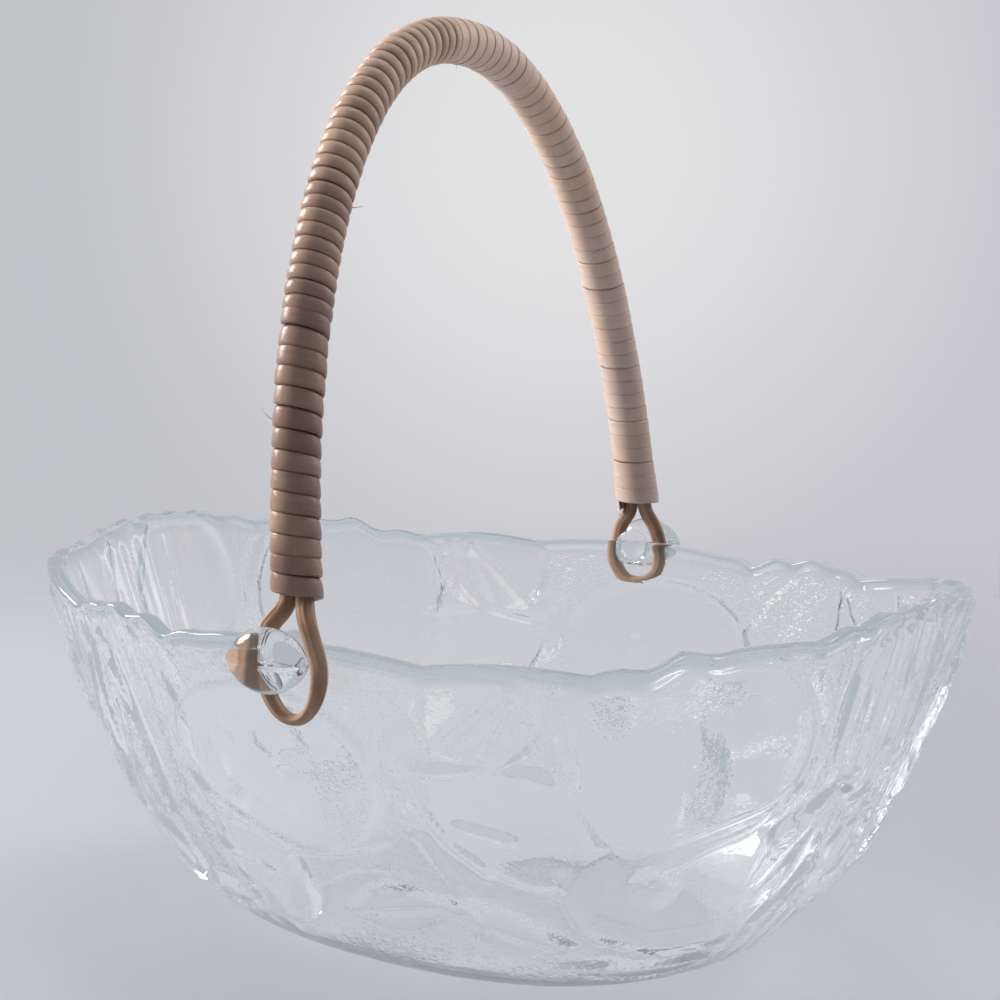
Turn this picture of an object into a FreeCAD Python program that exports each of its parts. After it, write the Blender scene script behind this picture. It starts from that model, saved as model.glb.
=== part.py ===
import FreeCAD, Part
import math
import os
from FreeCAD import Vector

# Glass basket: an oval pressed-glass bowl with fruit relief outside and a smooth inside, with a
# knob on each long side, and a cane handle whose end loops hang on the knobs' necks.
# Millimetres. X runs along the bowl, Y through the knobs, Z up. The origin is the base's centre.

# Bowl wall
BOWL_HALF_LENGTH = 132.6
BOWL_HALF_WIDTH = 92.4
BASE_HALF_LENGTH = 62.5
BASE_HALF_WIDTH = 44.8
SIDE_HEIGHT = 92.0          # rim height in the dips beside the knobs
WALL = 4.4
FLOOR = 6.5
OVAL_POWER = 2.216          # 2 is an ellipse, more is squarer
LENGTH_FLARE = 0.445        # how fast the wall spreads above the base
WIDTH_FLARE = 0.473
OVAL_LEAN = 0.019           # the pressed oval is a little skewed, the same way at both ends
OVAL_SHOULDER = 0.015

# Rim lobes over half a turn: start angle, height of the dip there, rise of the lobe that follows
RIM_LOBES = [
    (50.5, 0.0, 3.2),
    (72.0, -1.2, 2.9),
    (102.5, -0.6, 1.7),
    (120.5, -0.5, 2.3),
    (150.0, 6.0, 5.0),
    (192.0, 6.2, 2.3),
]

# Relief over half a turn, repeated on the other half: kind, angle, share of the rim height,
# half width, half height, tilt and how far it stands proud
RELIEF = [
    ("round", 133.5, 0.75, 32.0, 29.0, 0.0, 3.0),
    ("round", 137.0, 0.36, 28.0, 25.0, 0.0, 2.4),
    ("round", 108.0, 0.87, 18.0, 14.5, 0.0, 2.2),
    ("pear", 112.0, 0.58, 27.0, 17.0, 160.0, 2.4),
    ("round", 84.5, 0.63, 35.0, 25.0, 0.0, 2.8),
    ("round", 77.0, 0.30, 17.0, 19.0, 20.0, 2.2),
    ("leaf", 97.0, 0.27, 17.0, 9.0, 15.0, 2.0),
    ("leaf", 112.0, 0.25, 19.0, 8.0, -20.0, 2.2),
    ("leaf", 99.0, 0.70, 13.0, 5.0, 100.0, 2.0),
    ("leaf", 154.0, 0.40, 26.0, 11.0, 55.0, 2.2),
    ("round", 169.0, 0.76, 19.0, 27.0, 8.0, 2.6),
    ("round", 176.0, 0.33, 17.0, 17.0, 0.0, 2.2),
    ("leaf", 191.0, 0.62, 34.0, 8.0, 80.0, 2.4),
    ("round", 208.0, 0.72, 19.0, 24.0, -10.0, 2.4),
    ("round", 200.0, 0.30, 17.0, 15.0, 0.0, 2.0),
    ("leaf", 226.0, 0.62, 30.0, 8.0, 70.0, 2.2),
    ("leaf", 236.0, 0.66, 28.0, 7.0, 100.0, 2.0),
    ("round", 225.0, 0.24, 18.0, 13.0, 0.0, 2.0),
    ("leaf", 136.0, 0.11, 20.0, 7.0, 0.0, 1.6),
    ("leaf", 64.0, 0.17, 18.0, 7.0, 5.0, 1.6),
]

EDGE_POWER = 0.45           # below 0.5 the forms rise steeply at their edges
PEAR_TAPER = 0.35           # a pear is wider than its middle by this share at one end
LEAF_POINT = 0.6            # below 1 a leaf stays high along its middle and ends in points
RELIEF_FADE = 0.08          # the forms fade out below this share of the rim's height

# Knobs
KNOB_DROP = 0.5             # the knobs' axis lies this far under the rim's dips
KNOB_HEIGHT = SIDE_HEIGHT - KNOB_DROP
NECK_RADIUS = 4.2
HEAD_OUT = 10.5             # from the wall to the head's middle, along Y
HEAD_CENTRE = BOWL_HALF_WIDTH + HEAD_OUT
HEAD_HALF_LENGTH = 11.6
HEAD_HALF_DEPTH = 6.0
HEAD_HALF_HEIGHT = 7.9
SEAM_PROUD = 0.35
SEAM_THICKNESS = 0.8

# Cane
STRAND_RADIUS = 2.1
STRAND_GAP = 0.2            # between the two strands where they leave the core
CORE_FILL = 0.65            # the core is this much thicker than its two strands side by side
CORE_RADIUS = 2 * STRAND_RADIUS + CORE_FILL
CORE_INSET = 3.3            # the core stops this far inside the binding's end
SEAT_SPREAD = STRAND_RADIUS + STRAND_GAP / 2
FOOT_PART = 0.05            # each strand moves out by this on its way out of the binding
FOOT_SPREAD = SEAT_SPREAD + FOOT_PART
LOOP_PLAY = 2.0             # between the strands and the knob's neck, on either side
LOOP_HALF_WIDTH = NECK_RADIUS + LOOP_PLAY + STRAND_RADIUS
LOOP_BEND = 2.5             # the loop is widest this far below the knob's axis
HANDLE_OFFSET = 1.6         # the handle hangs this much beside the knobs' axis, along X

# End loops: distance out from the wall, drop from the knob's axis to the bottom, offset along X
NEAR_LOOP = (3.1, 16.0, 1.2)
FAR_LOOP = (3.2, 12.6, 0.4)

# Strands above the knob: height over the knob's axis, spread, share of the way to the loop
SHOULDERS = [(9.8, 3.2, 0.40), (6.9, 5.8, 1.0)]

# Arch of the handle, as it stands before it leans
ARCH_OUT = 1.2              # half the arch's span at its springing, over that of the bowl
ARCH_HALF_WIDTH = BOWL_HALF_WIDTH + ARCH_OUT
ARCH_SHIFT = 1.5            # the arch stands this much towards the far knob
ARCH_TOP = 241.6
ARCH_SINK = 11.5            # the arch's curve starts this far below the knobs' axis
ARCH_SPRING = KNOB_HEIGHT - ARCH_SINK
ARCH_POWER = 2.15
FOOT_RISE = 12.0            # the binding starts this far above the knobs' axis
FOOT_HEIGHT = KNOB_HEIGHT + FOOT_RISE
LEAN = 4.5                  # degrees

# Binding: flat cane strip wound round the core
BINDING_THICKNESS = 1.4
BINDING_RADIUS = CORE_RADIUS + BINDING_THICKNESS
BINDING_FIT = 0.15
BINDING_MOUTH = 0.5         # the bore widens by this at the handle's feet, where the strands part
NEAR_TURNS = 14
NEAR_PITCH = 4.9
NEAR_RIDGE = 0.55
CROWN_TURNS = 30
CROWN_PITCH = 3.6
CROWN_RIDGE = 0.6
FAR_TURNS = 26
FAR_RIDGE = 0.25
WIND_ANGLE = 5.0            # slant of a turn, in degrees

# Outline of one turn: place along the turn, and height there as a share of the ridge
ROUNDED_TURN = [(0.0, 0.0), (0.22, 1.0), (0.78, 1.0)]
RIDGED_TURN = [(0.0, 0.0), (0.5, 1.0)]
LAPPED_TURN = [(0.0, 0.0), (0.12, 1.0)]

# Fineness of the shapes
OUTSIDE_SHARES = [0.006, 0.03, 0.08, 0.16, 0.26, 0.36, 0.46, 0.56, 0.66, 0.76, 0.86, 0.94, 0.985]
INSIDE_SHARES = [0.95, 0.80, 0.60, 0.40, 0.22, 0.09]
AXIS_STEP = 0.02            # step between the points that give a direction on the wall
FORM_REACH = 1.5            # a form is looked for within this many times its size
AROUND_BOWL = 84
AROUND_HEAD = 16
ALONG_HEAD = 8
AROUND_BINDING = 14
AROUND_CANE = 10
ALONG_LOOP = 24
STATION_STEP = 16.0         # most length along the arch between two rings of the core
ARCH_STEPS = 60             # chords in a measured length of the arch
ARCH_HALVINGS = 24


def signed_power(value, power):
    return math.copysign(abs(value) ** power, value)


def facet(a, b, c):
    return Part.Face(Part.makePolygon([a, b, c, a]))


def cap(*rings):
    """Flat face inside the first ring of points, open inside any further ones."""
    outlines = [Part.makePolygon(ring + ring[:1]) for ring in rings]
    return Part.makeFace(outlines, "Part::FaceMakerBullseye")


def skin(rings):
    """Flat facets between closed rings of points that have as many points each."""
    faces = []
    for low, high in zip(rings, rings[1:]):
        for i in range(len(low)):
            a, b, c, d = low[i - 1], high[i - 1], high[i], low[i]
            if (a - c).Length < (b - d).Length:
                faces += [facet(a, b, c), facet(a, c, d)]
            else:
                faces += [facet(a, b, d), facet(b, c, d)]
    return faces


def closed_solid(faces):
    shell = Part.makeShell(faces)
    shell.sewShape()
    solid = Part.makeSolid(shell)
    if solid.Volume < 0:
        solid.reverse()
    return solid


def rim_height(angle):
    """Height of the scalloped rim at an angle round the bowl."""
    first = RIM_LOBES[0]
    lobes = RIM_LOBES + [(first[0] + 180.0, first[1], 0.0)]
    turn = (math.degrees(angle) - first[0]) % 180.0 + first[0]
    for (start, low, rise), (end, high, _) in zip(lobes, lobes[1:]):
        if turn <= end:
            share = (turn - start) / (end - start)
            return SIDE_HEIGHT + low + (high - low) * share + 4 * rise * share * (1 - share)
    return SIDE_HEIGHT + first[1]


def wall_point(angle, share):
    """Point on the plain outer wall, at a share of the rim's height."""
    half_x = BASE_HALF_LENGTH + (BOWL_HALF_LENGTH - BASE_HALF_LENGTH) * share ** LENGTH_FLARE
    half_y = BASE_HALF_WIDTH + (BOWL_HALF_WIDTH - BASE_HALF_WIDTH) * share ** WIDTH_FLARE
    skew = 1 - OVAL_LEAN * math.sin(2 * angle) + OVAL_SHOULDER * math.sin(4 * angle)
    return Vector(
        skew * half_x * signed_power(math.cos(angle), 2 / OVAL_POWER),
        skew * half_y * signed_power(math.sin(angle), 2 / OVAL_POWER),
        share * rim_height(angle),
    )


def wall_axes(angle, share):
    """Directions along, up and out of the plain wall at a point."""
    low = max(share - AXIS_STEP, AXIS_STEP / 10)
    along = wall_point(angle + AXIS_STEP, share) - wall_point(angle - AXIS_STEP, share)
    along = Vector(along.x, along.y, 0).normalize()
    up = (wall_point(angle, share + AXIS_STEP) - wall_point(angle, low)).normalize()
    up = (up - along * up.dot(along)).normalize()
    return along, up, along.cross(up).normalize()


def relief_places():
    """Each relief form with its place and axes on the wall, on both halves of the bowl."""
    places = []
    for kind, degrees, share, half_wide, half_high, tilt, proud in RELIEF:
        for half_turn in (0, 180):
            angle = math.radians(degrees + half_turn)
            along, up, _ = wall_axes(angle, share)
            turn = math.radians(tilt)
            axis = along * math.cos(turn) + up * math.sin(turn)
            across = up * math.cos(turn) - along * math.sin(turn)
            places.append((kind, wall_point(angle, share), axis, across, half_wide, half_high, proud))
    return places


def relief(point, places):
    """How far the fruit and leaves stand out of the wall at a point."""
    height = 0.0
    for kind, centre, axis, across, half_wide, half_high, proud in places:
        offset = point - centre
        x = offset.dot(axis) / half_wide
        y = offset.dot(across) / half_high
        if abs(x) >= 1 or offset.Length > FORM_REACH * max(half_wide, half_high):
            continue
        if kind == "pear":
            y = y / (1 - PEAR_TAPER * x)
        if kind == "leaf":
            y = y / (1 - x * x)
            x = LEAF_POINT * x
        reach = x * x + y * y
        if reach < 1:
            height = max(height, proud * (1 - reach) ** EDGE_POWER)
    return height


def bowl_rows(angle, places):
    """Outline of the wall at one angle: base, outside, rim, inside and floor."""
    rows = [wall_point(angle, 0.0)]
    for share in OUTSIDE_SHARES:
        point = wall_point(angle, share)
        out = wall_axes(angle, share)[2]
        rows.append(point + out * relief(point, places) * min(1.0, share / RELIEF_FADE))
    top = wall_point(angle, 1.0)
    out = wall_axes(angle, 1.0 - AXIS_STEP)[2]
    level_out = Vector(out.x, out.y, 0).normalize()
    rows.append(top + level_out * relief(top, places))
    rows.append(top - level_out * WALL)
    for share in INSIDE_SHARES:
        rows.append(wall_point(angle, share) - wall_axes(angle, share)[2] * WALL)
    base = wall_point(angle, 0.0)
    rows.append(Vector(base.x, base.y, FLOOR))
    return rows


def glass_wall():
    """The bowl's wall in facets between outlines round the oval, closed by base and floor."""
    places = relief_places()
    outlines = [bowl_rows(2 * math.pi * i / AROUND_BOWL, places) for i in range(AROUND_BOWL)]
    rings = [list(ring) for ring in zip(*outlines)]
    return closed_solid(skin(rings) + [cap(rings[0]), cap(rings[-1])])


def almond(half_depth, half_height):
    """Pointed oval along X, round the middle and drawn out to a tip at each end."""
    swell = (HEAD_HALF_LENGTH ** 2 + HEAD_HALF_HEIGHT ** 2) / (2 * HEAD_HALF_HEIGHT)
    rings = []
    for i in range(1, ALONG_HEAD):
        x = -HEAD_HALF_LENGTH * math.cos(math.pi * i / ALONG_HEAD)
        share = (math.sqrt(swell ** 2 - x ** 2) - swell) / HEAD_HALF_HEIGHT + 1
        rings.append([
            Vector(x, half_depth * share * math.cos(turn), half_height * share * math.sin(turn))
            for turn in [2 * math.pi * (k + 0.5) / AROUND_HEAD for k in range(AROUND_HEAD)]
        ])
    faces = skin(rings)
    for ring, x in ((rings[0], -HEAD_HALF_LENGTH), (rings[-1], HEAD_HALF_LENGTH)):
        faces += [facet(ring[i - 1], ring[i], Vector(x, 0, 0)) for i in range(AROUND_HEAD)]
    return closed_solid(faces)


def mould_seam():
    """Thin level rib round the head, where the two halves of the mould met."""
    swell = (HEAD_HALF_LENGTH ** 2 + HEAD_HALF_HEIGHT ** 2) / (2 * HEAD_HALF_HEIGHT)
    sides = 2 * ALONG_HEAD
    edge = []
    for i in range(sides):
        side = 1 if i < ALONG_HEAD else -1
        x = -side * HEAD_HALF_LENGTH * math.cos(math.pi * (i % ALONG_HEAD) / ALONG_HEAD)
        share = (math.sqrt(swell ** 2 - x ** 2) - swell) / HEAD_HALF_HEIGHT + 1
        grow = 1 + SEAM_PROUD / HEAD_HALF_LENGTH
        edge.append(Vector(x * grow, side * (HEAD_HALF_DEPTH * share + SEAM_PROUD), -SEAM_THICKNESS / 2))
    return cap(edge).extrude(Vector(0, 0, SEAM_THICKNESS))


def knob(side):
    """Neck and almond-shaped head with its mould seam, on one side of the bowl."""
    start = BOWL_HALF_WIDTH - WALL / 2
    neck = Part.makeCylinder(
        NECK_RADIUS, HEAD_CENTRE - start, Vector(0, side * start, KNOB_HEIGHT), Vector(0, side, 0)
    )
    head = almond(HEAD_HALF_DEPTH, HEAD_HALF_HEIGHT).fuse(mould_seam())
    head.translate(Vector(0, side * HEAD_CENTRE, KNOB_HEIGHT))
    return neck.fuse(head)


def glass_bowl():
    return glass_wall().fuse([knob(-1), knob(1)]).Solids[0]


def arch_point(turn):
    """Centre line of the handle, from the near foot (turn 0) over the top to the far foot (turn 1)."""
    foot = math.asin(((FOOT_HEIGHT - ARCH_SPRING) / (ARCH_TOP - ARCH_SPRING)) ** (ARCH_POWER / 2))
    angle = foot + (math.pi - 2 * foot) * turn
    width = signed_power(math.cos(angle), 2 / ARCH_POWER) * ARCH_HALF_WIDTH
    rise = math.sin(angle) ** (2 / ARCH_POWER) * (ARCH_TOP - ARCH_SPRING)
    return Vector(HANDLE_OFFSET, ARCH_SHIFT - width, ARCH_SPRING + rise)


def arch_ahead(turn):
    """Direction of the arch's centre line."""
    step = AXIS_STEP / 10
    return (arch_point(min(turn + step, 1.0)) - arch_point(max(turn - step, 0.0))).normalize()


def arch_length(start, end):
    points = [arch_point(start + (end - start) * i / ARCH_STEPS) for i in range(ARCH_STEPS + 1)]
    return sum((b - a).Length for a, b in zip(points, points[1:]))


def arch_turn(distance):
    """The turn that lies a given length along the arch from the near foot."""
    low, high = 0.0, 1.0
    for _ in range(ARCH_HALVINGS):
        middle = (low + high) / 2
        if arch_length(0.0, middle) < distance:
            low = middle
        else:
            high = middle
    return (low + high) / 2


def arch_ring(turn, radius, sides, slant=0.0):
    """Closed ring round the arch's centre line, slanted as the strip is wound."""
    centre = arch_point(turn)
    ahead = arch_ahead(turn)
    out = Vector(1, 0, 0)
    across = ahead.cross(out)
    rise = math.tan(math.radians(slant)) * radius
    points = []
    for i in range(sides):
        angle = 2 * math.pi * i / sides
        spot = out * math.cos(angle) * radius + across * math.sin(angle) * radius
        points.append(centre + spot + ahead * rise * math.sin(angle))
    return points


def stations(start, end):
    """Lengths along the arch at which the core, and the bore round it, have a ring."""
    spans = math.ceil((end - start) / STATION_STEP)
    lengths = [start + (end - start) * i / spans for i in range(spans + 1)]
    core_ends = [length for length in (CORE_INSET, far_end - CORE_INSET) if start < length < end]
    return sorted(lengths + core_ends)


def binding(start, end, turns, ridge, outline):
    """One wound strip between two lengths along the arch, with a ridge to each turn."""
    outer = []
    for i in range(turns):
        for share, height in outline:
            turn = arch_turn(start + (end - start) * (i + share) / turns)
            outer.append(arch_ring(turn, BINDING_RADIUS - ridge * (1 - height), AROUND_BINDING, WIND_ANGLE))
    outer.append(arch_ring(arch_turn(end), BINDING_RADIUS - ridge, AROUND_BINDING, WIND_ANGLE))
    inner = []
    for length in stations(start, end):
        bore = CORE_RADIUS + BINDING_FIT
        if length < CORE_INSET or length > far_end - CORE_INSET:
            bore += BINDING_MOUTH
        inner.append(arch_ring(arch_turn(length), bore, AROUND_BINDING, WIND_ANGLE))
    ends = skin([outer[0], inner[0]]) + skin([outer[-1], inner[-1]])
    return closed_solid(skin(outer) + skin(inner) + ends)


def strand_ring(point, ahead):
    """Closed ring round the cane strand of an end loop."""
    across = ahead.cross(Vector(0, 1, 0)).normalize()
    out = across.cross(ahead)
    points = []
    for i in range(AROUND_CANE):
        angle = 2 * math.pi * i / AROUND_CANE
        points.append(point + across * math.cos(angle) * STRAND_RADIUS + out * math.sin(angle) * STRAND_RADIUS)
    return points


def loop_curve(side):
    """Centre line of one end loop: down from the core, round the knob's neck and up again."""
    clearance, drop, offset = NEAR_LOOP if side < 0 else FAR_LOOP
    loop_y = side * (BOWL_HALF_WIDTH + clearance)
    seat_turn = arch_turn(CORE_INSET if side < 0 else far_end - CORE_INSET)
    foot = arch_point(0.0 if side < 0 else 1.0)
    seat = arch_point(seat_turn)
    middles = [seat, foot]
    spreads = [SEAT_SPREAD, FOOT_SPREAD]
    for height, spread, share in SHOULDERS:
        middles.append(foot + (Vector(offset, loop_y, 0) - foot) * share)
        middles[-1].z = KNOB_HEIGHT + height
        spreads.append(spread)
    for degrees in (0, 30, 60, 90):
        angle = math.radians(degrees)
        deep = LOOP_BEND + (drop - LOOP_BEND) * math.sin(angle)
        middles.append(Vector(offset, loop_y, KNOB_HEIGHT - deep))
        spreads.append(LOOP_HALF_WIDTH * math.cos(angle))
    points = [middle + Vector(spread, 0, 0) for middle, spread in zip(middles, spreads)]
    points += [middle - Vector(spread, 0, 0) for middle, spread in zip(middles[-2::-1], spreads[-2::-1])]
    down = arch_ahead(seat_turn) * side
    curve = Part.BSplineCurve()
    curve.interpolate(Points=points, InitialTangent=down, FinalTangent=down * -1)
    return curve


def loop_rings(side):
    curve = loop_curve(side)
    rings = []
    for i in range(ALONG_LOOP + 1):
        place = curve.FirstParameter + (curve.LastParameter - curve.FirstParameter) * i / ALONG_LOOP
        rings.append(strand_ring(curve.value(place), curve.tangent(place)[0]))
    return rings


def cane_frame():
    """Core of the handle, whose two ends each send out a loop of two strands."""
    lengths = stations(0.0, near_end) + stations(near_end, crown_end)[1:] + stations(crown_end, far_end)[1:]
    rings = [arch_ring(arch_turn(length), CORE_RADIUS, AROUND_CANE) for length in lengths[1:-1]]
    faces = skin(rings)
    for side, end_ring in ((-1, rings[0]), (1, rings[-1])):
        loop = loop_rings(side)
        faces += skin(loop)
        faces.append(cap(end_ring, loop[0], loop[-1]))
    return closed_solid(faces)


def leaned(shape):
    """The handle stands a little off upright, turned about the knobs' axis."""
    shape.rotate(Vector(0, 0, KNOB_HEIGHT), Vector(0, 1, 0), -LEAN)
    return shape


near_end = NEAR_TURNS * NEAR_PITCH
crown_end = near_end + CROWN_TURNS * CROWN_PITCH
far_end = arch_length(0.0, 1.0)
near_leg = binding(0.0, near_end, NEAR_TURNS, NEAR_RIDGE, ROUNDED_TURN)
crown = binding(near_end, crown_end, CROWN_TURNS, CROWN_RIDGE, RIDGED_TURN)
far_leg = binding(crown_end, far_end, FAR_TURNS, FAR_RIDGE, LAPPED_TURN)

pieces = {
    "glass_bowl": glass_bowl(),
    "cane_frame": leaned(cane_frame()),
    "near_leg_binding": leaned(near_leg),
    "crown_binding": leaned(crown),
    "far_leg_binding": leaned(far_leg),
}

os.makedirs("parts", exist_ok=True)
for name, shape in pieces.items():
    shape.exportStep(os.path.join("parts", name + ".step"))
    print(name, shape.ShapeType, shape.isValid(), len(shape.Solids), round(shape.Volume), shape.BoundBox)
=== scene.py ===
import bmesh
import bpy
import math
import numpy as np
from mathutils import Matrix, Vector


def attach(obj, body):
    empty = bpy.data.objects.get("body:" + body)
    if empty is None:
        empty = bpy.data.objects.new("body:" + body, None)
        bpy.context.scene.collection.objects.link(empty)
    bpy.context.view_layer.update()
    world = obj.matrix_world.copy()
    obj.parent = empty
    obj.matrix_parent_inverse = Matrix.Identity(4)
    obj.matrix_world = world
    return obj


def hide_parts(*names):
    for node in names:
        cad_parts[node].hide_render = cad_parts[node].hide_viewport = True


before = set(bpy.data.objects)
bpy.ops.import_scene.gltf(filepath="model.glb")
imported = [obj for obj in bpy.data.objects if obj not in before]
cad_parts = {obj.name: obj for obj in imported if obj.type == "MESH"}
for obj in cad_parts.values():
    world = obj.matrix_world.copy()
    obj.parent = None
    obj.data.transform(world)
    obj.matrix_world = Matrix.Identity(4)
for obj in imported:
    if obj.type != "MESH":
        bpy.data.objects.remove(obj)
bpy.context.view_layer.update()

# Glass bowl: clear pressed glass with a faint blue cast, an oval flared wall with fruit and leaves
# standing out of it and a knob on each long side. It is pressed in a mould in one piece and
# fire-polished, so the inside is smooth, the rim is rounded over and a stipple lies between the fruit.
MM = 0.001                  # all sizes below are in millimetres
BOWL_HALF_LENGTH = 132.6
BOWL_HALF_WIDTH = 92.4
BASE_HALF_LENGTH = 62.5
BASE_HALF_WIDTH = 44.8
SIDE_HEIGHT = 92.0
WALL = 4.4
FLOOR = 6.5
OVAL_POWER = 2.216
LENGTH_FLARE = 0.445
WIDTH_FLARE = 0.473
OVAL_LEAN = 0.019
OVAL_SHOULDER = 0.015
RIM_ROUND = 1.5             # how far down the rim's rounding reaches
RIM_POWER = 0.6             # how full that rounding is
RIM_RISE = 4.0              # mean rise of the rim over the side's height
FLOOR_SOFTNESS = 2.0        # how sharply the inside turns from the wall into the floor

# points round the bowl, and rows up the outside, over the rim, down the inside and over the floor
AROUND = 540
WALL_ROWS = 132
RIM_ROWS = 10
INSIDE_ROWS = 20
FLOOR_SHARES = (0.9, 0.75, 0.5, 0.25, 0.0)

# start angle, height of the dip there over the side's height, rise of the lobe that follows
RIM_LOBES = [
    (50.5, 0.0, 3.2),
    (72.0, -1.2, 2.9),
    (102.5, -0.6, 1.7),
    (120.5, -0.5, 2.3),
    (150.0, 6.0, 5.0),
    (192.0, 6.2, 2.3),
]

# kind, angle, share of the rim's height, half width, half height, tilt, how far it stands proud
RELIEF = [
    ("round", 133.5, 0.75, 32.0, 29.0, 0.0, 3.0),
    ("round", 137.0, 0.36, 28.0, 25.0, 0.0, 2.4),
    ("round", 108.0, 0.87, 18.0, 14.5, 0.0, 2.2),
    ("pear", 112.0, 0.58, 27.0, 17.0, 160.0, 2.4),
    ("round", 84.5, 0.63, 35.0, 25.0, 0.0, 2.8),
    ("round", 77.0, 0.30, 17.0, 19.0, 20.0, 2.2),
    ("leaf", 97.0, 0.27, 17.0, 9.0, 15.0, 2.0),
    ("leaf", 112.0, 0.25, 19.0, 8.0, -20.0, 2.2),
    ("leaf", 99.0, 0.70, 13.0, 5.0, 100.0, 2.0),
    ("leaf", 154.0, 0.40, 26.0, 11.0, 55.0, 2.2),
    ("round", 169.0, 0.76, 19.0, 27.0, 8.0, 2.6),
    ("round", 176.0, 0.33, 17.0, 17.0, 0.0, 2.2),
    ("leaf", 191.0, 0.62, 34.0, 8.0, 80.0, 2.4),
    ("round", 208.0, 0.72, 19.0, 24.0, -10.0, 2.4),
    ("round", 200.0, 0.30, 17.0, 15.0, 0.0, 2.0),
    ("leaf", 226.0, 0.62, 30.0, 8.0, 70.0, 2.2),
    ("leaf", 236.0, 0.66, 28.0, 7.0, 100.0, 2.0),
    ("round", 225.0, 0.24, 18.0, 13.0, 0.0, 2.0),
    ("leaf", 136.0, 0.11, 20.0, 7.0, 0.0, 1.6),
    ("leaf", 64.0, 0.17, 18.0, 7.0, 5.0, 1.6),
]
EDGE_STEP = 0.5             # share of a form's height that it gains at its outline
EDGE_WIDTH = 2.4            # width of that step
FORM_POWER = 0.8            # how full a form's back is
FORM_REACH = 1.5            # how far from its middle a form is looked for, in half widths
FOOT_FADE = 0.08            # share of the height over which the forms rise out of the base
PEAR_TAPER = 0.35           # how much slimmer a pear is at its stalk
LEAF_FALL = 0.36            # how far a leaf's back falls towards its tips
VEIN_DEPTH = 0.7
VEIN_WIDTH = 0.9
LEAF_RIB_DEPTH = 0.35
LEAF_RIB_SLANT = 0.9
LEAF_RIB_CLOSENESS = 1.25

# raised or sunken lines: height, width, and places as angle and share of the rim's height
STROKE_GAIN = 1.35          # all of them stand this much higher than their line says
STROKES = [
    (0.9, 1.1, [(100.4, 0.80), (101.2, 0.72), (101.8, 0.62), (104.8, 0.51), (110.0, 0.42)]),
    (0.8, 1.0, [(101.5, 0.51), (103.8, 0.43), (106.2, 0.35), (110.2, 0.25)]),
    (0.6, 0.9, [(106.5, 0.57), (112.5, 0.54)]),
    (0.6, 0.9, [(101.2, 0.72), (105.2, 0.72), (111.2, 0.74), (114.5, 0.83), (114.2, 0.88),
                (116.2, 0.97)]),
    (0.7, 1.0, [(67.0, 0.72), (69.0, 0.60), (76.2, 0.50), (81.5, 0.45), (86.2, 0.41), (91.0, 0.41),
                (96.5, 0.48)]),
    (0.8, 1.0, [(151.0, 0.92), (154.5, 0.78), (155.0, 0.68), (153.5, 0.61), (149.8, 0.56), (144.8, 0.53),
                (139.0, 0.50), (132.8, 0.45)]),
    (-0.5, 0.9, [(148.5, 0.92), (152.0, 0.78), (152.5, 0.69), (150.8, 0.63), (147.5, 0.585), (143.0, 0.56),
                 (137.5, 0.53), (131.0, 0.48)]),
    (0.7, 0.9, [(119.0, 0.95), (118.0, 0.82), (119.5, 0.66), (123.5, 0.53)]),
    (0.8, 1.0, [(119.4, 0.45), (120.0, 0.37), (123.6, 0.27), (131.0, 0.21), (138.5, 0.18), (148.5, 0.19),
                (157.0, 0.22), (162.2, 0.28), (164.5, 0.36), (162.0, 0.45)]),
    (0.6, 0.8, [(86.2, 0.29), (91.5, 0.37), (95.8, 0.39), (99.5, 0.37)]),
    (0.5, 0.8, [(112.5, 0.95), (119.3, 0.75)]),
    (0.5, 0.8, [(112.5, 0.95), (115.2, 0.71)]),
    (0.5, 0.8, [(112.5, 0.95), (108.0, 0.73)]),
    (0.5, 0.8, [(112.5, 0.95), (102.0, 0.73)]),
    (0.6, 0.9, [(63.3, 0.98), (67.8, 0.87), (71.2, 0.78)]),
    (0.6, 0.9, [(59.5, 0.45), (70.0, 0.38), (80.5, 0.32)]),
    (0.9, 1.2, [(174.0, 0.96), (176.0, 0.87), (179.0, 0.77), (178.5, 0.64), (173.5, 0.56), (168.8, 0.52)]),
    (0.7, 1.0, [(183.0, 0.95), (185.0, 0.75), (182.0, 0.55), (176.0, 0.44)]),
    (-0.6, 1.0, [(196.0, 0.92), (194.0, 0.72), (189.0, 0.50), (180.0, 0.30)]),
    (0.8, 1.0, [(205.0, 0.95), (201.0, 0.70), (196.0, 0.48), (186.0, 0.25)]),
    (0.6, 0.9, [(222.0, 0.93), (216.0, 0.66), (214.0, 0.45), (205.0, 0.22)]),
    (-0.5, 0.9, [(232.0, 0.90), (229.0, 0.66), (226.0, 0.48)]),
]

# dimple of the fruit's blossom end: angle, share, half width, depth
DIMPLES = [(132.5, 0.39, 7.0, 1.5), (170.0, 0.30, 5.0, 1.0), (88.0, 0.66, 4.5, 0.8)]
FLUTE_COUNT = 9
FLUTE_DEPTH = 0.25

# small waves along the rim: middle angle, half width, height, number of waves in a full turn
RIM_WAVES = [
    (66.0, 14.0, 0.8, 50),
    (129.0, 9.0, 1.5, 36),
    (160.0, 11.0, 0.6, 47),
    (178.0, 10.0, 0.7, 62),
    (205.0, 12.0, 0.5, 44),
]

# upright ribs on the wall under the rim at one end of the bowl
RIB_ANGLE = 352.0
RIB_HALF_WIDTH = 9.0
RIB_COUNT = 150
RIB_PROUD = 0.28
RIB_START = 0.80            # share of the rim's height where they start
RIB_FADE = 0.06

# plain land under the rim: its height as a share, and how far it stands proud
LAND = 0.024
LAND_FADE = 0.014
LAND_PROUD = 0.3

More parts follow.
